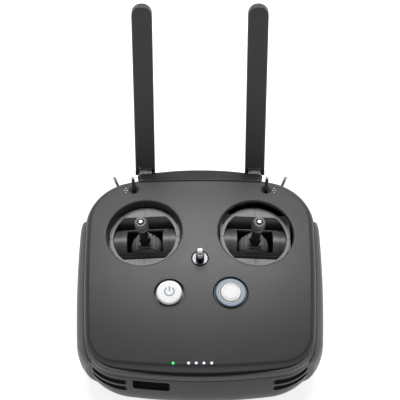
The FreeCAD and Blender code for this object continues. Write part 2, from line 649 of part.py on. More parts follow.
def antenna_base():
    """Swivel plug with a collar and the tongue of the fold hinge."""
    x = -ANTENNA_X
    plug = rod_y(SWIVEL_R, 83.0, 95.0, x, HINGE_Z)
    inner_end = rod_y(3.4, 79.5, 83.0, x, HINGE_Z)
    collar = rod_y(SWIVEL_R + 0.8, 93.3, 95.3, x, HINGE_Z)
    tongue = box(x - TONGUE_W / 2, x + TONGUE_W / 2, 94.0, HINGE_Y, HINGE_Z - TONGUE_R, HINGE_Z + TONGUE_R)
    eye = rod_x(TONGUE_R, x - TONGUE_W / 2, x + TONGUE_W / 2, HINGE_Y, HINGE_Z)
    pin_bore = rod_x(HINGE_PIN_R + PIN_GAP, x - 20, x + 20, HINGE_Y, HINGE_Z)
    lead_bore = rod_y(1.6, 70, 90, x, HINGE_Z)
    return fused([plug, inner_end, collar, tongue, eye]).cut(pin_bore).cut(lead_bore)


def antenna():
    """Flat paddle with a round tip and a fork at its foot; built along +Z from the hinge."""
    half, thick = ANTENNA_W / 2, ANTENNA_T / 2
    foot = rod_x(thick, -half, half, 0, 0)
    straight = box(-half, half, -thick, thick, 0, ANTENNA_L - half)
    end = rod_y(half, -thick, thick, 0, ANTENNA_L - half)
    blade = straight.fuse(end).removeSplitter()
    rim = [e for e in blade.Edges if e.BoundBox.YLength < 0.01 and e.BoundBox.ZLength > 1]
    blade = blade.makeFillet(1.5, rim)
    body = fused([blade, foot])
    slot_half = TONGUE_W / 2 + FORK_GAP
    body = body.cut(box(-slot_half, slot_half, -9, 9, -9, FORK_DEEP))
    body = body.cut(rod_x(HINGE_PIN_R + PIN_GAP, -20, 20))
    tilt = FreeCAD.Rotation(ACROSS, ANTENNA_RISE - 90)
    return placed(body, FreeCAD.Placement(V(-ANTENNA_X, HINGE_Y, HINGE_Z), tilt))


def antenna_pin():
    half = ANTENNA_W / 2 - 0.3
    return rod_x(HINGE_PIN_R, -ANTENNA_X - half, -ANTENNA_X + half, HINGE_Y, HINGE_Z)


# ---------------------------------------------------------------- inside and back

def lead_path(points):
    """Straight runs joined by tangent arcs, each as large as its two runs allow."""
    edges, start = [], points[0]
    for before, corner, after in zip(points, points[1:], points[2:]):
        back, ahead = (before - corner), (after - corner)
        half_turn = (math.pi - back.getAngle(ahead)) / 2
        reach = 0.45 * min(back.Length, ahead.Length)
        print("lead bend radius %.1f" % (reach / math.tan(half_turn)))
        back.normalize()
        ahead.normalize()
        first, last = corner + back * reach, corner + ahead * reach
        radius = reach / math.tan(half_turn)
        middle = corner + (back + ahead).normalize() * (radius / math.cos(half_turn) - radius)
        edges += [Part.LineSegment(start, first).toShape(), Part.Arc(first, middle, last).toShape()]
        start = last
    edges.append(Part.LineSegment(start, points[-1]).toShape())
    return Part.Wire(edges)


def antenna_lead():
    """Thin coaxial lead from the radio board to the swivel plug."""
    path = lead_path(LEAD_ROUTE)
    section = Part.Wire([Part.makeCircle(LEAD_R, LEAD_ROUTE[0], LEAD_ROUTE[1] - LEAD_ROUTE[0])])
    lead = path.makePipeShell([section], True, False)
    print("lead length %.1f, volume against section times length %.3f"
          % (path.Length, lead.Volume / (math.pi * LEAD_R ** 2 * path.Length)))
    return lead


def main_board():
    board = round_box(-60, 60, -66, -3, BOARD_Z, BOARD_Z + BOARD_T, 8.0)
    chips = [box(-12, 2, -44, -30, BOARD_Z - 1.6, BOARD_Z), box(14, 24, -48, -38, BOARD_Z - 1.3, BOARD_Z),
             box(-36, -28, -40, -32, BOARD_Z - 1.2, BOARD_Z)]
    cuts = [rod(BOSS_R + 0.5, 0, 80, sx, y) for x, y in SCREWS for sx in (x, -x)]
    return fused([board] + chips).cut(Part.makeCompound(cuts))


def radio_board():
    board = box(-25, 25, 63, 81.5, 30.0, 31.6)
    can = box(-10, 10, 65, 79, 31.6, 34.6)
    jacks = [tube(0.6, 1.5, 31.6, 34.0, x, 70) for x in (-22, 22)]
    return fused([board, can] + jacks)


def battery():
    pack = round_box(-32.4, 32.4, COVER_Y0 + 7.6, COVER_Y1 - 7.6, COVER_T + 0.3, 26.0, 2.5)
    return pack.makeFillet(1.5, edges_near(pack, lambda p: p.z > 25.9))


def rear_cover():
    """Battery cover, flush with the flat back, with a finger notch at its far edge."""
    plate = round_box(-COVER_X, COVER_X, COVER_Y0, COVER_Y1, 0, COVER_T, 4.0)
    cuts = []
    for x, y in COVER_SCREWS:
        for sx in (-x, x):
            countersink = Part.makeCone(2.15, 1.1, 1.05, V(sx, y, 0))
            cuts += [rod(1.1, -1, 5, sx, y), countersink, rod(2.15, -1, 0.01, sx, y)]
    for i in range(5):
        y = -14.0 + 4.0 * i
        cuts.append(round_box(-14, 14, y - 22, y - 20.2, -1, 0.5, 0.85))
    return plate.cut(Part.makeCompound(cuts))


def casing_screw(x, y):
    cross = [box(x - 0.4, x + 0.4, y - 2, y + 2, 1, 2.6), box(x - 2, x + 2, y - 0.4, y + 0.4, 1, 2.6)]
    head = rod(2.9, 1.7, 3.9, x, y).cut(Part.makeCompound(cross))
    return head.fuse(rod(1.25, 3.9, 53.0, x, y)).removeSplitter()


def cover_screw(x, y):
    head = Part.makeCone(2.0, 0.8, 1.05, V(x, y, 0.1))
    cross = [box(x - 0.25, x + 0.25, y - 1.2, y + 1.2, 0, 0.6),
             box(x - 1.2, x + 1.2, y - 0.25, y + 0.25, 0, 0.6)]
    return fused([head, rod(0.8, 1.1, 4.0, x, y)]).cut(Part.makeCompound(cross))


def port_frame():
    """Tray behind the port opening, with walls all round and a back for the two sockets."""
    outer = port_block(1.4, -80.0, -66.0).common(rear_solid(WALL + SNUG, FLOOR))
    inner = port_block(-0.2, -80.0, -67.4)
    sockets = port_socket_cuts()
    return outer.cut(inner).cut(sockets)


def port_socket_cuts():
    return Part.makeCompound([box(-46.2, -37.8, -72, -60, 35.6, 39.2),
                              box(-33.8, -24.8, -72, -60, 34.2, 39.8)])


def charge_socket():
    """Flat metal shell with a tongue inside."""
    shell = box(-46.0, -38.0, -70.6, -60.0, 35.8, 39.0).cut(box(-45.5, -38.5, -72, -61.0, 36.3, 38.5))
    return fused([shell, box(-44.6, -39.4, -69.8, -60.5, 37.0, 37.8)])


def trainer_socket():
    """Larger metal shell with a tongue inside."""
    shell = box(-33.6, -25.0, -70.6, -60.0, 34.4, 39.6).cut(box(-33.0, -25.6, -72, -61.0, 35.0, 39.0))
    return fused([shell, box(-32.0, -26.6, -69.8, -60.5, 36.8, 37.8)])


# ---------------------------------------------------------------- all the nodes

def build():
    """Name and shape of every node."""
    nodes = {"front_shell": front_shell(), "rear_shell": rear_shell(), "top_housing": make_housing()}
    in_unit = {"stick_ring": ring_plate(), "stick_frame": stick_frame(), "stick_yoke": yoke(),
               "stick_dome": inner_dome(), "stick_shaft": stick_shaft(), "stick_knob": knob(),
               "stick_crown_pin": crown_pin(), "stick_sensors": stick_sensor(),
               "stick_springs": stick_springs()}
    lefts = {name: placed(shape, gimbal()) for name, shape in in_unit.items()}
    lefts.update({"grip": grip(), "vent_grille": vent_grille(), "antenna_base": antenna_base(),
                  "antenna": antenna(), "antenna_pin": antenna_pin(), "antenna_lead": antenna_lead()})
    front_place = on_face(FRONT_TOGGLE_X, FRONT_TOGGLE_Y)
    pivot = front_place.multiply(FreeCAD.Placement(V(0, 0, -4.6), FreeCAD.Rotation()))
    lean = pivot.multiply(FreeCAD.Placement(V(0, 0, 0), FreeCAD.Rotation(ACROSS, -FRONT_TOGGLE_LEAN)))
    lefts["front_toggle"] = placed(front_toggle(), lean)
    raised = FreeCAD.Rotation(UP, rear_direction(REAR_LEVER_RISE))
    lefts["rear_toggle"] = placed(rear_toggle(), FreeCAD.Placement(REAR_TOGGLE_PIVOT, raised))
    for name, shape in lefts.items():
        nodes["left_" + name] = shape
        nodes["right_" + name] = mirrored(shape)
    nodes["front_switches"] = both(placed(front_switch(), pivot))
    nodes["rear_switches"] = both(placed(rear_switch(), rear_bush_place()))
    nodes["rear_toggle_nuts"] = both(placed(hex_nut(), rear_bush_place()))
    power_place, home_place = on_face(-BUTTON_X, BUTTON_Y), on_face(BUTTON_X, BUTTON_Y)
    nodes["power_button"] = placed(power_button(), power_place)
    nodes["home_button"] = placed(home_button(), home_place)
    nodes["home_button_ring"] = placed(home_ring(), home_place)
    nodes["tact_switches"] = both(tact_switch().translated(V(-BUTTON_X, BUTTON_Y, BOARD_Z + BOARD_T)))
    lever_place = on_face(0, LEVER_Y)
    nodes["landing_lever"] = placed(landing_lever(), lever_place)
    nodes["lever_bezel"] = placed(lever_bezel(), lever_place)
    nodes["lever_switch"] = placed(lever_switch(), lever_place)
    nodes["status_lens"] = placed(lens(LENS_R, 4.0), on_face(STATUS_X, LENS_Y))
    nodes["charge_lenses"] = Part.makeCompound(
        [placed(lens(LENS_R, 4.0), on_face(CHARGE_X0 + i * CHARGE_STEP, LENS_Y)) for i in range(4)])
    nodes["main_board"] = main_board()
    nodes["radio_board"] = radio_board()
    nodes["battery_pack"] = battery()
    nodes["battery_cover"] = rear_cover()
    nodes["casing_screws"] = Part.makeCompound([casing_screw(sx, y) for x, y in SCREWS for sx in (x, -x)])
    nodes["cover_screws"] = Part.makeCompound([cover_screw(sx, y) for x, y in COVER_SCREWS for sx in (x, -x)])
    nodes["port_frame"] = port_frame()
    nodes["charge_socket"] = charge_socket()
    nodes["trainer_socket"] = trainer_socket()
    return nodes


def main():
    os.makedirs("parts", exist_ok=True)
    for name, shape in build().items():
        solids = shape.Solids
        print("%-26s solids %d  volume %9.1f  valid %s" % (name, len(solids), shape.Volume, shape.isValid()))
        result = solids[0] if len(solids) == 1 else Part.makeCompound(solids)
        result.exportStep("parts/" + name + ".step")


main()
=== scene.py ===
"""Finishes and fine pieces of a hand-held drone transmitter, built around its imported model, in metres."""
import json
import math

import bmesh
import bpy
from bpy.props import FloatProperty, FloatVectorProperty, IntProperty, PointerProperty
from mathutils import Matrix, Vector


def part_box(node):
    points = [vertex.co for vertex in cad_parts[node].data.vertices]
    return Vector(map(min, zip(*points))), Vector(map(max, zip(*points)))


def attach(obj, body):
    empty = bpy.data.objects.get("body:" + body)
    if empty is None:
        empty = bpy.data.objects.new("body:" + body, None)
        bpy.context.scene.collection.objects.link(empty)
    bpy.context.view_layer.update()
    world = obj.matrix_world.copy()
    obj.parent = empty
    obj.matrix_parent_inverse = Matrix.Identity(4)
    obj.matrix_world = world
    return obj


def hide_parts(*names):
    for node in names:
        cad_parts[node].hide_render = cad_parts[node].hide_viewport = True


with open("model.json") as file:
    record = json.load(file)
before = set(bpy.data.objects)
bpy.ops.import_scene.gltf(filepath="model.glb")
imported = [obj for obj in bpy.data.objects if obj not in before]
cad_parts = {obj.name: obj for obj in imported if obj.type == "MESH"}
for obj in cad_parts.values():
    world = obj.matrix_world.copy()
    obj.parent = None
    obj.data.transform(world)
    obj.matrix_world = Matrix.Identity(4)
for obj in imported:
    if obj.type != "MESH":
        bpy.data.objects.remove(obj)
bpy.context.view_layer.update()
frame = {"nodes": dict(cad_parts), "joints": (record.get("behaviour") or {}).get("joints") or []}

bl_info = {
    "name": "Drone Transmitter Finishes",
    "version": (1, 0, 0),
    "blender": (4, 5, 0),
    "location": "3D View > Sidebar > Transmitter",
    "description": "Builds the finishes and fine pieces of a hand-held drone transmitter",
    "category": "Add Mesh",
}

MM = 0.001
SIDES = ("left", "right")
CASING_ROUGH = 0.42
HOUSING_EDGE_Y = 85.6 * MM
MERGE = 1e-7
TINY = 1e-6
JOINTS = {joint["name"]: joint for joint in frame["joints"]}


# ---------------------------------------------------------------- settings

def colour(name, words, value):
    """A colour property with its name, description and default."""
    return FloatVectorProperty(name=name, description=words, subtype="COLOR", size=4, min=0, max=1,
                               default=(*value, 1.0))


def length(name, words, value):
    """A length property in metres."""
    return FloatProperty(name=name, description=words, subtype="DISTANCE", unit="LENGTH", default=value,
                         precision=5)


class TransmitterColours(bpy.types.PropertyGroup):
    casing: colour("Casing", "Textured shells and battery cover", (0.020, 0.020, 0.021))
    housing: colour("Housing", "Polished bar between the antennas", (0.014, 0.014, 0.015))
    grip: colour("Grip", "Soft side grips", (0.070, 0.071, 0.074))
    antenna: colour("Antenna", "Paddle antennas", (0.020, 0.020, 0.021))
    swivel: colour("Swivel", "Swivels at the feet of the antennas", (0.20, 0.20, 0.21))
    ring: colour("Stick ring", "Rings round the sticks", (0.090, 0.090, 0.090))
    drum: colour("Drum", "Tilting drums of the sticks", (0.060, 0.061, 0.064))
    petals: colour("Petals", "Domes inside the drums", (0.17, 0.17, 0.178))
    frame: colour("Stick frame", "Open boxes that carry the drums", (0.24, 0.24, 0.244))
    # Also the base of the painted shade in the port recess and button grooves and of the painted dark reflection
    # on the lever feet.
    black: colour("Inner black", "Levers, collars and everything behind an opening", (0.012, 0.012, 0.012))
    white: colour("White", "Button caps", (0.60, 0.60, 0.60))
    mark: colour("Mark", "Printed power mark", (0.17, 0.22, 0.30))
    blue_ring: colour("Button ring", "Ring round the right-hand button", (0.17, 0.23, 0.30))
    board: colour("Board", "Circuit boards", (0.012, 0.085, 0.035))
    wrap: colour("Battery wrap", "Shrink film round the battery", (0.02, 0.035, 0.12))
    status: colour("Status lamp", "Lit status lens", (0.04, 0.66, 0.11))
    charge: colour("Charge lamps", "Lit charge lenses", (0.70, 0.68, 0.86))


class TransmitterSizes(bpy.types.PropertyGroup):
    knurl_depth: length("Knurl depth", "Height of the knurl's points on the stick grips", 0.32 * MM)
    knurl_turns: IntProperty(name="Knurl columns", description="Points round a stick grip, an even number",
                             default=44, min=16, max=96)
    crown_teeth: IntProperty(name="Crown teeth", description="Teeth round a stick grip's crown",
                             default=11, min=6, max=24)
    mark_radius: length("Power mark radius", "Outer radius of the mark on the power button", 4.0 * MM)
    mark_width: length("Power mark width", "Width of the mark's line", 1.15 * MM)
    dot_radius: length("Dot radius", "Radius of the printed dots beside the front toggles", 0.42 * MM)
    dot_reach: length("Dot reach", "Distance from the middle of a dot group to its far dots", 1.95 * MM)
    print_height: length("Print height", "Thickness of printed marks", 0.05 * MM)
    dome_radius: length("Face radius", "Radius of the domed face", 0.520)
    dome_centre_y: length("Face crest", "Y of the face's highest point", 0.008)


# ---------------------------------------------------------------- shader tools

class Value:
    """A number that varies over a surface; Python's operators on it add Math nodes."""

    def __init__(self, finish, socket):
        self.finish, self.socket = finish, socket

    def math(self, operation, *others):
        inputs = {i: other for i, other in enumerate((self, *others))}
        return self.finish.add("ShaderNodeMath", {"operation": operation}, inputs).value()

    def swapped(self, operation, other):
        return self.finish.add("ShaderNodeMath", {"operation": operation}, {0: other, 1: self}).value()

    def __add__(self, other):
        return self.math("ADD", other)

    def __sub__(self, other):
        return self.math("SUBTRACT", other)

    def __rsub__(self, other):
        return self.swapped("SUBTRACT", other)

    def __mul__(self, other):
        return self.math("MULTIPLY", other)

    def __truediv__(self, other):
        return self.math("DIVIDE", other)

    def __rtruediv__(self, other):
        return self.swapped("DIVIDE", other)

    def __neg__(self):
        return self.math("MULTIPLY", -1.0)

    __radd__, __rmul__ = __add__, __mul__

    def above(self, edge, blur):
        """0 below the edge and 1 above it, with a soft step as wide as blur."""
        return ((self - edge) / blur + 0.5).math("MINIMUM", 1.0).math("MAXIMUM", 0.0)

    def between(self, low, high, blur):
        """1 from low to high and 0 elsewhere, with soft steps."""
        return self.above(low, blur) - self.above(high, blur)

    def wave(self, step):
        """Sine with a period of step, from -1 to 1."""
        return (self * (2 * math.pi / step)).math("SINE")


class Node:
    """A node that has been added to a finish."""

    def __init__(self, finish, node):
        self.finish, self.node = finish, node

    def value(self, output=0):
        return Value(self.finish, self.node.outputs[output])


class Finish:
    """A material being put together; add() makes any node from its type, settings and inputs."""

    def __init__(self, name, base, roughness=0.5, **constants):
        self.material = bpy.data.materials.new(name)
        self.material.use_nodes = True
        self.tree = self.material.node_tree
        self.tree.nodes.clear()
        self.shader = self.add("ShaderNodeBsdfPrincipled", {}, {"Base Color": base, "Roughness": roughness,
                                                                **constants})
        self.add("ShaderNodeOutputMaterial", {}, {"Surface": self.shader.value("BSDF")})
        self.place = self.add("ShaderNodeTexCoord").value("Object")
        self.material.diffuse_color = base

    def add(self, kind, settings=None, inputs=None):
        node = self.tree.nodes.new(kind)
        for key, setting in (settings or {}).items():
            if key == "stops":
                self.set_stops(node.color_ramp, setting)
            else:
                setattr(node, key, setting)
        for key, given in (inputs or {}).items():
            if isinstance(given, Value):
                self.tree.links.new(given.socket, node.inputs[key])
            else:
                node.inputs[key].default_value = given
        return Node(self, node)

    @staticmethod
    def set_stops(ramp, stops):
        while len(ramp.elements) < len(stops):
            ramp.elements.new(0.5)
        for element, (position, shade) in zip(ramp.elements, stops):
            element.position, element.color = position, shade

    def axes(self):
        """X, Y and Z of the surface in the model's frame, in metres."""
        split = self.add("ShaderNodeSeparateXYZ", {}, {0: self.place})
        return [split.value(i) for i in range(3)]

    def stretched(self, scale):
        """Place on the surface, squeezed or stretched along each axis."""
        return self.add("ShaderNodeMapping", {}, {"Vector": self.place, "Scale": scale}).value()

    def noise(self, size, detail=3.0, roughness=0.55, place=None):
        """Noise from 0 to 1 whose features are about as large as size."""
        return self.add("ShaderNodeTexNoise", {}, {"Vector": place or self.place, "Scale": 1 / size,
                                                   "Detail": detail, "Roughness": roughness}).value()

    def cells(self, size):
        """Distance to the nearest of many scattered points about a size apart."""
        points = self.add("ShaderNodeTexVoronoi", {}, {"Vector": self.place, "Scale": 1 / size})
        return points.value("Distance")

    def mixed(self, factor, first, second):
        """Colour that goes from first to second as the factor rises."""
        mix = self.add("ShaderNodeMix", {"data_type": "RGBA", "clamp_factor": True},
                       {0: factor, 6: first, 7: second})
        return mix.value(2)

    def bump(self, height, depth):
        """Small relief as deep as depth where the height goes from 0 to 1."""
        bump = self.add("ShaderNodeBump", {}, {"Height": height, "Distance": depth, "Strength": 1.0})
        self.feed("Normal", bump.value())

    def feed(self, socket, value):
        self.tree.links.new(value.socket, self.shader.node.inputs[socket])

    def cover(self, factor, shade):
        """Lays another colour over what the finish shows so far, where the factor is 1."""
        link = self.shader.node.inputs["Base Color"].links[0]
        self.feed("Base Color", self.mixed(factor, Value(self, link.from_socket), shade))

    def distance_from(self, point):
        """Distance in X and Y from a point, in metres."""
        x, y, _ = self.axes()
        dx, dy = x - point.x, y - point.y
        return (dx * dx + dy * dy).math("SQRT")


def tinted(shade, factor):
    """The colour, lighter or darker by a factor."""
    return (*(min(1.0, channel * factor) for channel in shade[:3]), 1.0)


# ---------------------------------------------------------------- finishes

def moulded(name, shade, rough, grain=0.30 * MM, depth=0.012 * MM):
    """Moulded plastic with a fine spark-eroded grain and faint handling marks."""
    mottle = 0.10
    finish = Finish(name, shade, rough, **{"Specular IOR Level": 0.36})
    cloud = finish.noise(34 * MM, 4)
    rub = finish.noise(7 * MM, 5)
    fine = finish.noise(grain, 2)
    finish.feed("Base Color", finish.mixed(cloud * 0.6 + rub * 0.25 + fine * 0.15,
                                           tinted(shade, 1 - mottle), tinted(shade, 1 + mottle)))
    finish.feed("Roughness", (cloud - 0.5) * 0.10 + (rub - 0.5) * 0.10 + (fine - 0.5) * 0.12 + rough)
    pits = finish.cells(grain * 1.5)
    finish.bump(fine * 0.6 + pits * 0.4, depth)
    return finish


def polished(name, shade):
    """Polished plastic with faint wiping marks and a slight ripple, left dull along its front edge and darkened
    there with painted shade.
    """
    finish = Finish(name, shade, 0.16, **{"Coat Roughness": 0.06})
    smear = finish.noise(16 * MM, 5, 0.7, finish.stretched((1.0, 2.6, 0.7)))
    dust = finish.noise(0.5 * MM, 2)
    front_edge = 1 - finish.axes()[1].above(HOUSING_EDGE_Y, 0.3 * MM)
    finish.feed("Roughness", 0.13 + smear * 0.11 + dust * 0.03 + front_edge * 0.6)
    finish.feed("Coat Weight", (1 - front_edge) * 0.4)
    finish.feed("Base Color", finish.mixed(smear, tinted(shade, 0.85), tinted(shade, 1.2)))
    # Painted shade: the front edge is darkened to a fifth of the colour.
    finish.cover(front_edge, tinted(shade, 0.2))
    finish.bump(finish.noise(22 * MM, 1), 0.03 * MM)
    return finish.material


def soft_rubber(name, shade):
    """Soft grip skin with a close field of tiny raised dots."""
    finish = Finish(name, shade, 0.62, **{"Sheen Weight": 0.15, "Sheen Roughness": 0.5})
    cloud = finish.noise(26 * MM, 4)
    fine = finish.noise(0.35 * MM, 2)
    dots = finish.cells(0.9 * MM)
    uneven = cloud * 0.7 + fine * 0.3
    finish.feed("Base Color", finish.mixed(uneven, tinted(shade, 0.88), tinted(shade, 1.14)))
    finish.feed("Roughness", 0.56 + cloud * 0.08 + dots * 0.10)
    finish.bump((1 - dots) * 0.7 + fine * 0.3, 0.03 * MM)
    return finish.material


def ring_plastic(name, shade):
    """Satin plastic with a fine grain."""
    finish = Finish(name, shade, 0.38)
    grain = finish.noise(0.22 * MM, 2)
    cloud = finish.noise(9 * MM, 4)
    uneven = cloud * 0.7 + grain * 0.3
    finish.feed("Base Color", finish.mixed(uneven, tinted(shade, 0.92), tinted(shade, 1.08)))
    finish.feed("Roughness", 0.32 + cloud * 0.10 + grain * 0.06)
    finish.bump(grain, 0.006 * MM)
    return finish


def metal(name, shade, rough, grain=0.4 * MM):
    """Metal with a fine grain."""
    finish = Finish(name, shade, rough, Metallic=1.0)
    scratch = finish.noise(grain, 3, 0.6)
    cloud = finish.noise(5 * MM, 3)
    uneven = cloud * 0.6 + scratch * 0.4
    finish.feed("Base Color", finish.mixed(uneven, tinted(shade, 0.86), tinted(shade, 1.08)))
    finish.feed("Roughness", scratch * 0.14 + cloud * 0.08 + (rough - 0.09))
    finish.bump(scratch, 0.004 * MM)
    return finish.material


def white_gloss(name, shade):
    """Glossy white plastic, a little duller where thumbs press."""
    finish = Finish(name, shade, 0.2, **{"Coat Weight": 0.5, "Coat Roughness": 0.08})
    smear = finish.noise(4 * MM, 4)
    fine = finish.noise(0.3 * MM, 2)
    finish.feed("Base Color", finish.mixed(smear, tinted(shade, 0.965), shade))
    finish.feed("Roughness", 0.17 + smear * 0.12 + fine * 0.03)
    finish.bump(smear, 0.006 * MM)
    return finish.material


def lamp(name, shade, strength):
    """Lit lens with a slightly uneven glow."""
    finish = Finish(name, shade, 0.3, **{"Emission Strength": strength})
    glow = finish.noise(0.9 * MM, 2)
    lit = finish.mixed(glow, tinted(shade, 0.86), tinted(shade, 1.12))
    finish.feed("Base Color", lit)
    finish.feed("Emission Color", lit)
    return finish.material


def board_finish(name, shade):
    """Solder mask with darker tracks under it."""
    finish = Finish(name, shade, 0.35)
    x, y, _ = finish.axes()
    tracks = (x.wave(2.6 * MM) * y.wave(3.4 * MM)).above(0.1, 0.1)
    cloud = finish.noise(3 * MM, 3)
    uneven = tracks * 0.7 + cloud * 0.3
    finish.feed("Base Color", finish.mixed(uneven, tinted(shade, 0.7), tinted(shade, 1.5)))
    finish.feed("Roughness", 0.28 + cloud * 0.15)
    finish.bump(tracks, 0.03 * MM)
    return finish.material


def film(name, shade):
    """Shrink film with faint creases."""
    finish = Finish(name, shade, 0.3)
    creases = finish.noise(12 * MM, 6, 0.7, finish.stretched((1, 0.25, 1)))
    finish.feed("Base Color", finish.mixed(creases, tinted(shade, 0.8), tinted(shade, 1.3)))
    finish.feed("Roughness", 0.22 + creases * 0.2)
    finish.bump(creases, 0.15 * MM)
    return finish.material


def tipped_lever(name, shade, tip_shade, foot, way, from_foot, metallic=1.0):
    """Lever painted black up to a distance from its foot as a painted dark reflection, with the end beyond it
    bright: real bright metal when fully metallic, a painted bright reflection when barely metallic.
    """
    finish = Finish(name, shade, 0.4)
    offset = finish.add("ShaderNodeVectorMath", {"operation": "SUBTRACT"}, {0: finish.place, 1: foot}).value()
    dot = finish.add("ShaderNodeVectorMath", {"operation": "DOT_PRODUCT"}, {0: offset, 1: way})
    along = dot.value("Value")
    tip = along.above(from_foot, 0.15 * MM)
    fine = finish.noise(0.3 * MM, 2)
    # Painted reflection: the black foot stands in for the dark body mirrored in the chrome lever.
    finish.feed("Base Color", finish.mixed(tip, shade, tip_shade))
    finish.feed("Metallic", tip * metallic)
    finish.feed("Roughness", 0.46 - tip * 0.20 + fine * 0.08)
    finish.bump(fine, 0.008 * MM)
    return finish


# ---------------------------------------------------------------- mesh tools

def new_piece(name, mesh_tool, material, body):
    """Turns a bmesh into a finished object that rides on a body."""
    bmesh.ops.remove_doubles(mesh_tool, verts=mesh_tool.verts, dist=MERGE)
    bmesh.ops.recalc_face_normals(mesh_tool, faces=mesh_tool.faces)
    mesh = bpy.data.meshes.new(name)
    mesh_tool.to_mesh(mesh)
    mesh_tool.free()
    piece = bpy.data.objects.new(name, mesh)
    bpy.context.scene.collection.objects.link(piece)
    mesh.materials.append(material)
    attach(piece, body)
    return piece


def lathe(points, turns):
    """Closed solid of revolution about Z from a closed profile of (radius, height)."""
    tool = bmesh.new()
    rim = [tool.verts.new((radius, 0, height)) for radius, height in points]
    edges = [tool.edges.new(pair) for pair in zip(rim, rim[1:] + rim[:1])]
    bmesh.ops.spin(tool, geom=rim + edges, cent=(0, 0, 0), axis=(0, 0, 1), angle=math.tau, steps=turns,
                   use_merge=True)
    bmesh.ops.remove_doubles(tool, verts=tool.verts, dist=MERGE)
    return tool


def frame_at(point, up, across=Vector((1, 0, 0))):
    """Matrix that puts Z along up at a point, with X as near to across as it goes."""
    up = up.normalized()
    away = up.cross(across).normalized()
    return Matrix.Translation(point) @ Matrix((away.cross(up), away, up)).transposed().to_4x4()


def face_frame(x, y):
    """Matrix on the domed face over a point, with Z square to it."""
    sizes = bpy.context.scene.transmitter_sizes
    radius = sizes.dome_radius
    centre = Vector((0, sizes.dome_centre_y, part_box("front_shell")[1].z - radius))
    dx, dy = x, y - sizes.dome_centre_y
    up = Vector((dx, dy, math.sqrt(radius ** 2 - dx ** 2 - dy ** 2)))
    return frame_at(centre + up, up)


def stick_frame(side):
    """Matrix at a stick's pivot with Z along the stick at rest."""
    joint = JOINTS[side + "_stick_pitch"]
    across = Vector(joint["axis"])
    return frame_at(Vector(joint["pos_m"]), across.cross(Vector((0, 1, 0))), across)


def paint(material, *nodes):
    """Gives carried-over nodes a finish."""
    for name in nodes:
        node = frame["nodes"][name]
        node.data.materials.clear()
        node.data.materials.append(material)


def pair(name):
    return ["%s_%s" % (side, name) for side in SIDES]


# ---------------------------------------------------------------- operators

class TRANSMITTER_OT_casing(bpy.types.Operator):
    """Finish the shells, the battery cover and the polished bar"""
    bl_idname = "transmitter.casing"
    bl_label = "Casing"
    bl_options = {"REGISTER", "UNDO"}

    TRAY_WALL = 1.1 * MM
    LOWER_WALL_Y = 60 * MM
    GROOVES = (("power_button", 11.5 * MM), ("home_button", 11.2 * MM))
    DISH = 13.4 * MM

    def execute(self, context):
        colours = context.scene.transmitter_colours
        paint(moulded("textured_charcoal", colours.casing, CASING_ROUGH).material, "battery_cover")
        paint(self.face_with_painted_shade(colours), "front_shell")
        recess = moulded("charcoal_with_painted_recess_shade", colours.casing, CASING_ROUGH)
        x, y, z = recess.axes()
        low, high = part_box("port_frame")
        wall = self.TRAY_WALL
        inside = (x.between(low.x + wall, high.x - wall, 0.1 * MM)
                  * z.between(low.z + wall, high.z - wall, 0.1 * MM) * (-y).above(self.LOWER_WALL_Y, 1 * MM))
        # Painted shade: the shell inside the port recess is darkened to near black where shade falls.
        recess.cover(inside, tinted(colours.black, 0.6))
        paint(recess.material, "rear_shell")
        paint(polished("polished_charcoal", colours.housing), "top_housing")
        return {"FINISHED"}

    def face_with_painted_shade(self, colours):
        """Charcoal face with painted shade in the dishes round the buttons and a near-black painted shadow down
        their grooves.
        """
        face = moulded("charcoal_face_with_painted_shade", colours.casing, CASING_ROUGH)
        for name, groove in self.GROOVES:
            low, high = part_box(name)
            reach = face.distance_from((low + high) / 2)
            # Painted shade in each button's dish, then painted shadow, near black, down its groove.
            face.cover(1 - reach.above(self.DISH, 0.5 * MM), tinted(colours.casing, 0.6))
            face.cover(1 - reach.above(groove, 0.2 * MM), tinted(colours.black, 0.2))
        return face.material


class TRANSMITTER_OT_grips(bpy.types.Operator):
    """Finish the soft side grips"""
    bl_idname = "transmitter.grips"
    bl_label = "Grips"
    bl_options = {"REGISTER", "UNDO"}

    def execute(self, context):
        paint(soft_rubber("grip_skin", context.scene.transmitter_colours.grip), *pair("grip"))
        return {"FINISHED"}


class TRANSMITTER_OT_antennas(bpy.types.Operator):
    """Finish the paddle antennas, their swivels, pins and leads"""
    bl_idname = "transmitter.antennas"
    bl_label = "Antennas"
    bl_options = {"REGISTER", "UNDO"}

    def execute(self, context):
        colours = context.scene.transmitter_colours
        blade = moulded("antenna_plastic", colours.antenna, 0.44, 0.35 * MM, 0.008 * MM)
        paint(blade.material, *pair("antenna"))
        paint(moulded("swivel_plastic", colours.swivel, 0.42).material, *pair("antenna_base"))
        paint(metal("pin_steel", (0.58, 0.58, 0.60, 1), 0.25), *pair("antenna_pin"))
        paint(moulded("lead_jacket", colours.black, 0.5).material, *pair("antenna_lead"))
        return {"FINISHED"}


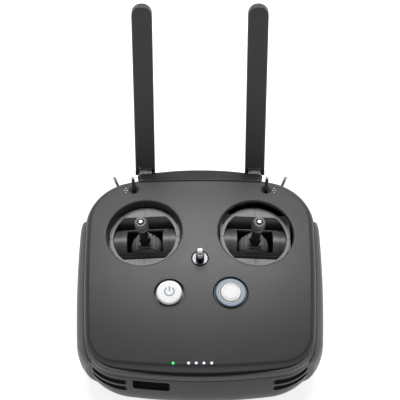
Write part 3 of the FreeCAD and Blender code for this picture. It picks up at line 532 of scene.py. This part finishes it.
class TRANSMITTER_OT_stick_units(bpy.types.Operator):
    """Finish the stick rings, frames, drums, domes and shafts"""
    bl_idname = "transmitter.stick_units"
    bl_label = "Stick units"
    bl_options = {"REGISTER", "UNDO"}

    PIN_TOP, PIN_BRIGHT = 41.3 * MM, 1.35 * MM
    SCORE_HALF = 0.32 * MM

    def execute(self, context):
        colours = context.scene.transmitter_colours
        paint(self.scored_ring(colours.ring), *pair("stick_ring"))
        drum = moulded("drum_plastic", colours.drum, 0.36, 0.25 * MM, 0.006 * MM)
        paint(drum.material, *pair("stick_yoke"))
        petals = moulded("petal_plastic", colours.petals, 0.40, 0.25 * MM, 0.005 * MM)
        paint(petals.material, *pair("stick_dome"))
        paint(moulded("frame_plastic", colours.frame, 0.48).material, *pair("stick_frame"))
        paint(moulded("inner_black", colours.black, 0.5).material, *pair("stick_sensors"), *pair("vent_grille"),
              "port_frame", "front_switches", "lever_switch")
        paint(moulded("shaft_black", colours.black, 0.36).material, *pair("stick_shaft"))
        paint(metal("spring_steel", (0.5, 0.5, 0.52, 1), 0.3), *pair("stick_springs"))
        for side in SIDES:
            paint(self.crown_pin(side), side + "_stick_crown_pin")
        return {"FINISHED"}

    def crown_pin(self, side):
        """Pin that is white in its middle and dark at its rim."""
        finish = moulded(side + "_crown_pin", (0.05, 0.05, 0.05, 1), 0.34)
        tip = stick_frame(side) @ Vector((0, 0, self.PIN_TOP))
        reach = finish.add("ShaderNodeVectorMath", {"operation": "DISTANCE"}, {0: finish.place, 1: tip})
        finish.cover(1 - reach.value("Value").above(self.PIN_BRIGHT, 0.15 * MM), (0.95, 0.95, 0.95, 1))
        return finish.material

    def scored_ring(self, shade):
        """Ring plastic with dark lines scored across it at the four quarters."""
        finish = ring_plastic("ring_plastic", shade)
        x, y, _ = finish.axes()
        joint = Vector(JOINTS["right_stick_pitch"]["pos_m"])
        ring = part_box("right_stick_ring")
        middle = (ring[0].x + ring[1].x) / 2
        half = self.SCORE_HALF
        lines = (x.math("ABSOLUTE").between(middle - half, middle + half, 0.1 * MM)
                 + y.between(joint.y - half, joint.y + half, 0.1 * MM)).math("MINIMUM", 1.0)
        finish.cover(lines, tinted(shade, 0.35))
        return finish.material


class TRANSMITTER_OT_stick_grips(bpy.types.Operator):
    """Build the knurled metal grips of both sticks"""
    bl_idname = "transmitter.stick_grips"
    bl_label = "Stick grips"
    bl_options = {"REGISTER", "UNDO"}

    FOOT, TOP, WELL_FLOOR = 31.0 * MM, 40.3 * MM, 39.2 * MM
    BORE, OUTER, CHAMFER = 2.0 * MM, 4.9 * MM, 0.45 * MM
    BANDS = ((31.0 * MM, 35.0 * MM), (36.0 * MM, 39.9 * MM))
    ROWS = 6
    TOOTH_SHARE, TOOTH_RISE = 0.55, 0.55 * MM

    def execute(self, context):
        sizes = context.scene.transmitter_sizes
        finish = metal("knurled_metal", (0.10, 0.10, 0.104, 1), 0.46, grain=0.2 * MM)
        for side in SIDES:
            tool = self.grip_mesh(sizes)
            bmesh.ops.transform(tool, matrix=stick_frame(side), verts=tool.verts)
            grip = new_piece(side + "_knurled_grip", tool, finish, side + "_stick")
            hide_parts(side + "_stick_knob")
        return {"FINISHED"}

    def grip_mesh(self, sizes):
        """Two knurled drums on one sleeve, with teeth round the open top."""
        profile = [(self.BORE, self.FOOT), (self.OUTER - 0.5 * MM, self.FOOT)]
        for low, high in self.BANDS:
            for row in range(self.ROWS + 1):
                height = low + self.CHAMFER + (high - low - 2 * self.CHAMFER) * row / self.ROWS
                profile.append((self.OUTER, height))
            profile.append((self.OUTER - self.CHAMFER, high))
        profile += [(4.0 * MM, self.TOP), (2.7 * MM, self.TOP), (2.3 * MM, self.WELL_FLOOR),
                    (self.BORE, self.WELL_FLOOR)]
        tool = lathe(profile, sizes.knurl_turns)
        self.press_knurl(tool, sizes)
        self.raise_teeth(tool, sizes)
        return tool

    def press_knurl(self, tool, sizes):
        """Pushes every other point of the drums inwards."""
        on_drum = [v for v in tool.verts if v.co.xy.length > self.OUTER - TINY]
        heights = sorted({round(v.co.z, 7) for v in on_drum})
        for vert in on_drum:
            column = round(math.atan2(vert.co.y, vert.co.x) / math.tau * sizes.knurl_turns)
            if (column + heights.index(round(vert.co.z, 7))) % 2:
                vert.co.xy *= (self.OUTER - sizes.knurl_depth) / vert.co.xy.length

    def raise_teeth(self, tool, sizes):
        """Raises the crown's flat top in separate teeth."""
        teeth = []
        for face in tool.faces:
            middle = face.calc_center_median()
            turn = math.atan2(middle.y, middle.x) / math.tau * sizes.crown_teeth
            if abs(middle.z - self.TOP) < TINY and turn % 1.0 < self.TOOTH_SHARE:
                teeth.append(face)
        raised = bmesh.ops.extrude_face_region(tool, geom=teeth)
        corners = [g for g in raised["geom"] if isinstance(g, bmesh.types.BMVert)]
        bmesh.ops.translate(tool, vec=(0, 0, self.TOOTH_RISE), verts=corners)


class TRANSMITTER_OT_buttons(bpy.types.Operator):
    """Finish the two buttons, the ring and the switches, and build the power mark"""
    bl_idname = "transmitter.buttons"
    bl_label = "Buttons"
    bl_options = {"REGISTER", "UNDO"}

    LIP_OUT, LINE_OUT = 8.6 * MM, 9.0 * MM
    CAP_TOP, MARK_SUNK = 1.7 * MM, 0.02 * MM
    MARK_GAP = math.radians(35)
    BAR_REACH = 1.05

    def execute(self, context):
        sizes, colours = context.scene.transmitter_sizes, context.scene.transmitter_colours
        paint(white_gloss("button_white", colours.white), "power_button", "home_button")
        paint(self.two_part_ring(colours), "home_button_ring")
        paint(metal("switch_steel", (0.55, 0.55, 0.57, 1), 0.3), "tact_switches", "rear_switches",
              "charge_socket", "trainer_socket")
        self.power_mark(sizes, moulded("mark_print", colours.mark, 0.35).material)
        return {"FINISHED"}

    def two_part_ring(self, colours):
        """Blue-grey ring with a pale inner lip and a fine dark line beside it."""
        finish = ring_plastic("blue_grey_ring", colours.blue_ring)
        low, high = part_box("home_button_ring")
        middle = (low + high) / 2
        reach = finish.distance_from(middle)
        lip = 1 - reach.above(self.LIP_OUT, 0.08 * MM)
        line = reach.between(self.LIP_OUT, self.LINE_OUT, 0.08 * MM)
        finish.cover(lip, tinted(colours.white, 0.7))
        finish.cover(line, tinted(colours.blue_ring, 0.35))
        return finish.material

    def power_mark(self, sizes, finish):
        """Open ring with a bar that runs from its middle out through its gap."""
        low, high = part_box("power_button")
        middle = (low + high) / 2
        top, width = self.CAP_TOP, sizes.mark_width
        outer, gap = sizes.mark_radius, self.MARK_GAP
        tool = bmesh.new()
        corners = [(outer - width, 0, top - self.MARK_SUNK), (outer, 0, top - self.MARK_SUNK),
                   (outer, 0, top + sizes.print_height), (outer - width, 0, top + sizes.print_height)]
        section = tool.faces.new([tool.verts.new(c) for c in corners])
        turn = Matrix.Rotation(math.pi / 2 + gap, 4, "Z")
        bmesh.ops.transform(tool, matrix=turn, verts=tool.verts)
        bmesh.ops.spin(tool, geom=[section, *section.edges, *section.verts], cent=(0, 0, 0), axis=(0, 0, 1),
                       angle=math.tau - 2 * gap, steps=40, use_merge=False)
        reach = outer * self.BAR_REACH
        extent = Matrix.Diagonal((width, reach, 2 * sizes.print_height, 1))
        bar = Matrix.Translation((0, reach / 2, top)) @ extent
        bmesh.ops.create_cube(tool, size=1.0, matrix=bar)
        bmesh.ops.transform(tool, matrix=face_frame(middle.x, middle.y), verts=tool.verts)
        new_piece("power_mark", tool, finish, "power_button")


class TRANSMITTER_OT_levers(bpy.types.Operator):
    """Finish the centre lever, its bezel and all four toggles"""
    bl_idname = "transmitter.levers"
    bl_label = "Levers"
    bl_options = {"REGISTER", "UNDO"}

    BRIGHT_REFLECTION_FROM = 66.0 * MM
    SLEEVE = (66.2 * MM, 69.5 * MM)
    BAND = (71.5 * MM, 74.1 * MM)
    MOON_FROM, MOON_OUT = 3.2 * MM, 5.6 * MM
    TOGGLE_TIP = 13.4 * MM

    def execute(self, context):
        colours = context.scene.transmitter_colours
        # Bright end colour: real chrome on the toggles, a painted bright reflection on the centre lever.
        bright = (0.80, 0.80, 0.81, 1)
        paint(self.banded_lever(colours, bright), "landing_lever")
        paint(self.half_moon_bezel(colours), "lever_bezel")
        for side in SIDES:
            joint = JOINTS[side + "_front_toggle_flip"]
            low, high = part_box(side + "_front_toggle")
            foot = Vector(joint["pos_m"])
            tip = Vector((low.x if side == "left" else high.x, high.y, high.z))
            way = (tip - foot).normalized()
            toggle = tipped_lever(side + "_toggle_painted_dark_reflection", colours.black, bright, foot, way, self.TOGGLE_TIP)
            paint(toggle.material, side + "_front_toggle")
        chrome = metal("lever_chrome", (0.50, 0.50, 0.52, 1), 0.16, grain=0.6 * MM)
        paint(chrome, "rear_toggle_nuts", *pair("rear_toggle"))
        return {"FINISHED"}

    def banded_lever(self, colours, bright):
        """Foot painted black as a painted dark reflection, a dull sleeve, a near-white end with little metal as
        a painted bright reflection on the plating, and a blue-grey band below the bright end.
        """
        # Painted reflections: black below the bright end, near white with little metal above it.
        finish = tipped_lever("centre_lever", colours.black, bright, (0, 0, 0), (0, 0, 1),
                              self.BRIGHT_REFLECTION_FROM, 0.15)
        z = finish.axes()[2]
        finish.cover(z.between(*self.SLEEVE, 0.2 * MM), (0.30, 0.30, 0.31, 1))
        finish.cover(z.between(*self.BAND, 0.2 * MM), colours.mark)
        return finish.material

    def half_moon_bezel(self, colours):
        """Black bezel with a silver half moon on either side of the lever."""
        finish = moulded("bezel_black", colours.black, 0.34)
        x = finish.axes()[0].math("ABSOLUTE")
        low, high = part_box("lever_bezel")
        reach = finish.distance_from((low + high) / 2)
        moons = x.above(self.MOON_FROM, 0.1 * MM) * (1 - reach.above(self.MOON_OUT, 0.1 * MM))
        finish.cover(moons, (0.42, 0.44, 0.48, 1))
        return finish.material


class TRANSMITTER_OT_toggle_dots(bpy.types.Operator):
    """Print a diamond of four dots beside each front toggle"""
    bl_idname = "transmitter.toggle_dots"
    bl_label = "Toggle dots"
    bl_options = {"REGISTER", "UNDO"}

    MIDDLE_X, MIDDLE_Y = 56.8 * MM, 77.2 * MM

    def execute(self, context):
        sizes = context.scene.transmitter_sizes
        finish = moulded("dot_print", (0.55, 0.55, 0.56, 1), 0.4).material
        reach, near = sizes.dot_reach, sizes.dot_reach * 0.5
        spots = ((0, reach), (0, -reach), (near, 0), (-near, 0))
        for side, sign in zip(SIDES, (-1, 1)):
            tool = bmesh.new()
            for dx, dy in spots:
                place = face_frame(sign * self.MIDDLE_X + dx, self.MIDDLE_Y + dy)
                bmesh.ops.create_cone(tool, cap_ends=True, segments=20, radius1=sizes.dot_radius,
                                      radius2=sizes.dot_radius * 0.9, depth=2 * sizes.print_height, matrix=place)
            new_piece(side + "_toggle_dots", tool, finish, "casing")
        return {"FINISHED"}


class TRANSMITTER_OT_lamps(bpy.types.Operator):
    """Light the status lens and the charge lenses"""
    bl_idname = "transmitter.lamps"
    bl_label = "Lamps"
    bl_options = {"REGISTER", "UNDO"}

    def execute(self, context):
        colours = context.scene.transmitter_colours
        paint(lamp("status_lamp", colours.status, 0.8), "status_lens")
        paint(lamp("charge_lamp", colours.charge, 0.45), "charge_lenses")
        return {"FINISHED"}


class TRANSMITTER_OT_inside(bpy.types.Operator):
    """Finish the boards, the battery and the screws"""
    bl_idname = "transmitter.inside"
    bl_label = "Inside"
    bl_options = {"REGISTER", "UNDO"}

    def execute(self, context):
        colours = context.scene.transmitter_colours
        paint(board_finish("board_mask", colours.board), "main_board", "radio_board")
        paint(film("battery_film", colours.wrap), "battery_pack")
        paint(metal("screw_steel", (0.42, 0.42, 0.43, 1), 0.32), "casing_screws", "cover_screws")
        return {"FINISHED"}


class TRANSMITTER_OT_stage(bpy.types.Operator):
    """Set the floor, the lights and the camera"""
    bl_idname = "transmitter.stage"
    bl_label = "Stage"
    bl_options = {"REGISTER", "UNDO"}

    LIGHTS = (
        ("key", (0.0, 0.82, 1.31), (1.10, 0.52), 24.0),
        ("back_strip", (0.0, 2.0, 1.0), (2.4, 0.3), 9.0),
        ("front_fill", (0.0, -2.0, 0.9), (2.4, 0.7), 7.0),
    )
    AIM = Vector((0, 0, 0.04))
    CAMERA_SPOT, CAMERA_TILT, CAMERA_VIEW = (0, -0.53604, 1.08293), math.radians(30.5), math.radians(14.608)
    SKY = ((0.0, 1.0), (0.50, 0.95), (0.64, 0.14), (1.0, 0.20))

    def execute(self, context):
        self.floor()
        for name, spot, size, power in self.LIGHTS:
            self.softbox(name, Vector(spot), size, power)
        self.sky(context.scene)
        self.camera(context.scene)
        context.scene.view_settings.view_transform = "Standard"
        return {"FINISHED"}

    def sky(self, scene):
        """White walls near the floor and a dark ceiling."""
        world = bpy.data.worlds.new("studio")
        world.use_nodes = True
        nodes, links = world.node_tree.nodes, world.node_tree.links
        place, split = nodes.new("ShaderNodeTexCoord"), nodes.new("ShaderNodeSeparateXYZ")
        ramp = nodes.new("ShaderNodeValToRGB")
        Finish.set_stops(ramp.color_ramp, [(height, (level, level, level, 1)) for height, level in self.SKY])
        links.new(place.outputs["Generated"], split.inputs[0])
        links.new(split.outputs[2], ramp.inputs[0])
        links.new(ramp.outputs[0], nodes["Background"].inputs["Color"])
        scene.world = world

    def floor(self):
        tool = bmesh.new()
        bmesh.ops.create_grid(tool, x_segments=1, y_segments=1, size=6.0)
        mesh = bpy.data.meshes.new("floor")
        tool.to_mesh(mesh)
        tool.free()
        floor = bpy.data.objects.new("floor", mesh)
        bpy.context.scene.collection.objects.link(floor)
        finish = Finish("floor_paint", (0.5, 0.5, 0.5, 1), 0.8, **{"Emission Color": (1, 1, 1, 1),
                                                                  "Emission Strength": 0.72})
        mesh.materials.append(finish.material)

    def softbox(self, name, spot, size, power):
        light = bpy.data.lights.new(name, "AREA")
        light.shape, light.size, light.size_y, light.energy = "RECTANGLE", size[0], size[1], power
        holder = bpy.data.objects.new(name, light)
        holder.location = spot
        holder.rotation_euler = (self.AIM - spot).to_track_quat("-Z", "Y").to_euler()
        bpy.context.scene.collection.objects.link(holder)

    def camera(self, scene):
        """Long lens from the holder's side, looking down on the face."""
        lens = bpy.data.cameras.new("camera")
        lens.lens = lens.sensor_width / 2 / math.tan(self.CAMERA_VIEW / 2)
        lens.clip_start, lens.clip_end = 0.1, 20
        holder = bpy.data.objects.new("camera", lens)
        holder.location = self.CAMERA_SPOT
        holder.rotation_euler = (self.CAMERA_TILT, 0, 0)
        scene.collection.objects.link(holder)
        scene.camera = holder


MAKERS = (TRANSMITTER_OT_casing, TRANSMITTER_OT_grips, TRANSMITTER_OT_antennas, TRANSMITTER_OT_stick_units,
          TRANSMITTER_OT_stick_grips, TRANSMITTER_OT_buttons, TRANSMITTER_OT_levers,
          TRANSMITTER_OT_toggle_dots, TRANSMITTER_OT_lamps, TRANSMITTER_OT_inside, TRANSMITTER_OT_stage)


class TRANSMITTER_PT_panel(bpy.types.Panel):
    """Sidebar panel with the transmitter's settings and its makers"""
    bl_idname = "TRANSMITTER_PT_panel"
    bl_label = "Transmitter"
    bl_space_type = "VIEW_3D"
    bl_region_type = "UI"
    bl_category = "Transmitter"

    def draw(self, context):
        for group in (context.scene.transmitter_sizes, context.scene.transmitter_colours):
            column = self.layout.column()
            for name in group.__annotations__:
                column.prop(group, name)
        for maker in MAKERS:
            self.layout.operator(maker.bl_idname)


CLASSES = (TransmitterColours, TransmitterSizes, *MAKERS, TRANSMITTER_PT_panel)


def register():
    for cls in CLASSES:
        bpy.utils.register_class(cls)
    bpy.types.Scene.transmitter_colours = PointerProperty(type=TransmitterColours)
    bpy.types.Scene.transmitter_sizes = PointerProperty(type=TransmitterSizes)


def unregister():
    del bpy.types.Scene.transmitter_sizes
    del bpy.types.Scene.transmitter_colours
    for cls in reversed(CLASSES):
        bpy.utils.unregister_class(cls)


def main():
    register()
    for maker in MAKERS:
        group, name = maker.bl_idname.split(".")
        getattr(getattr(bpy.ops, group), name)()


if __name__ == "__main__":
    main()
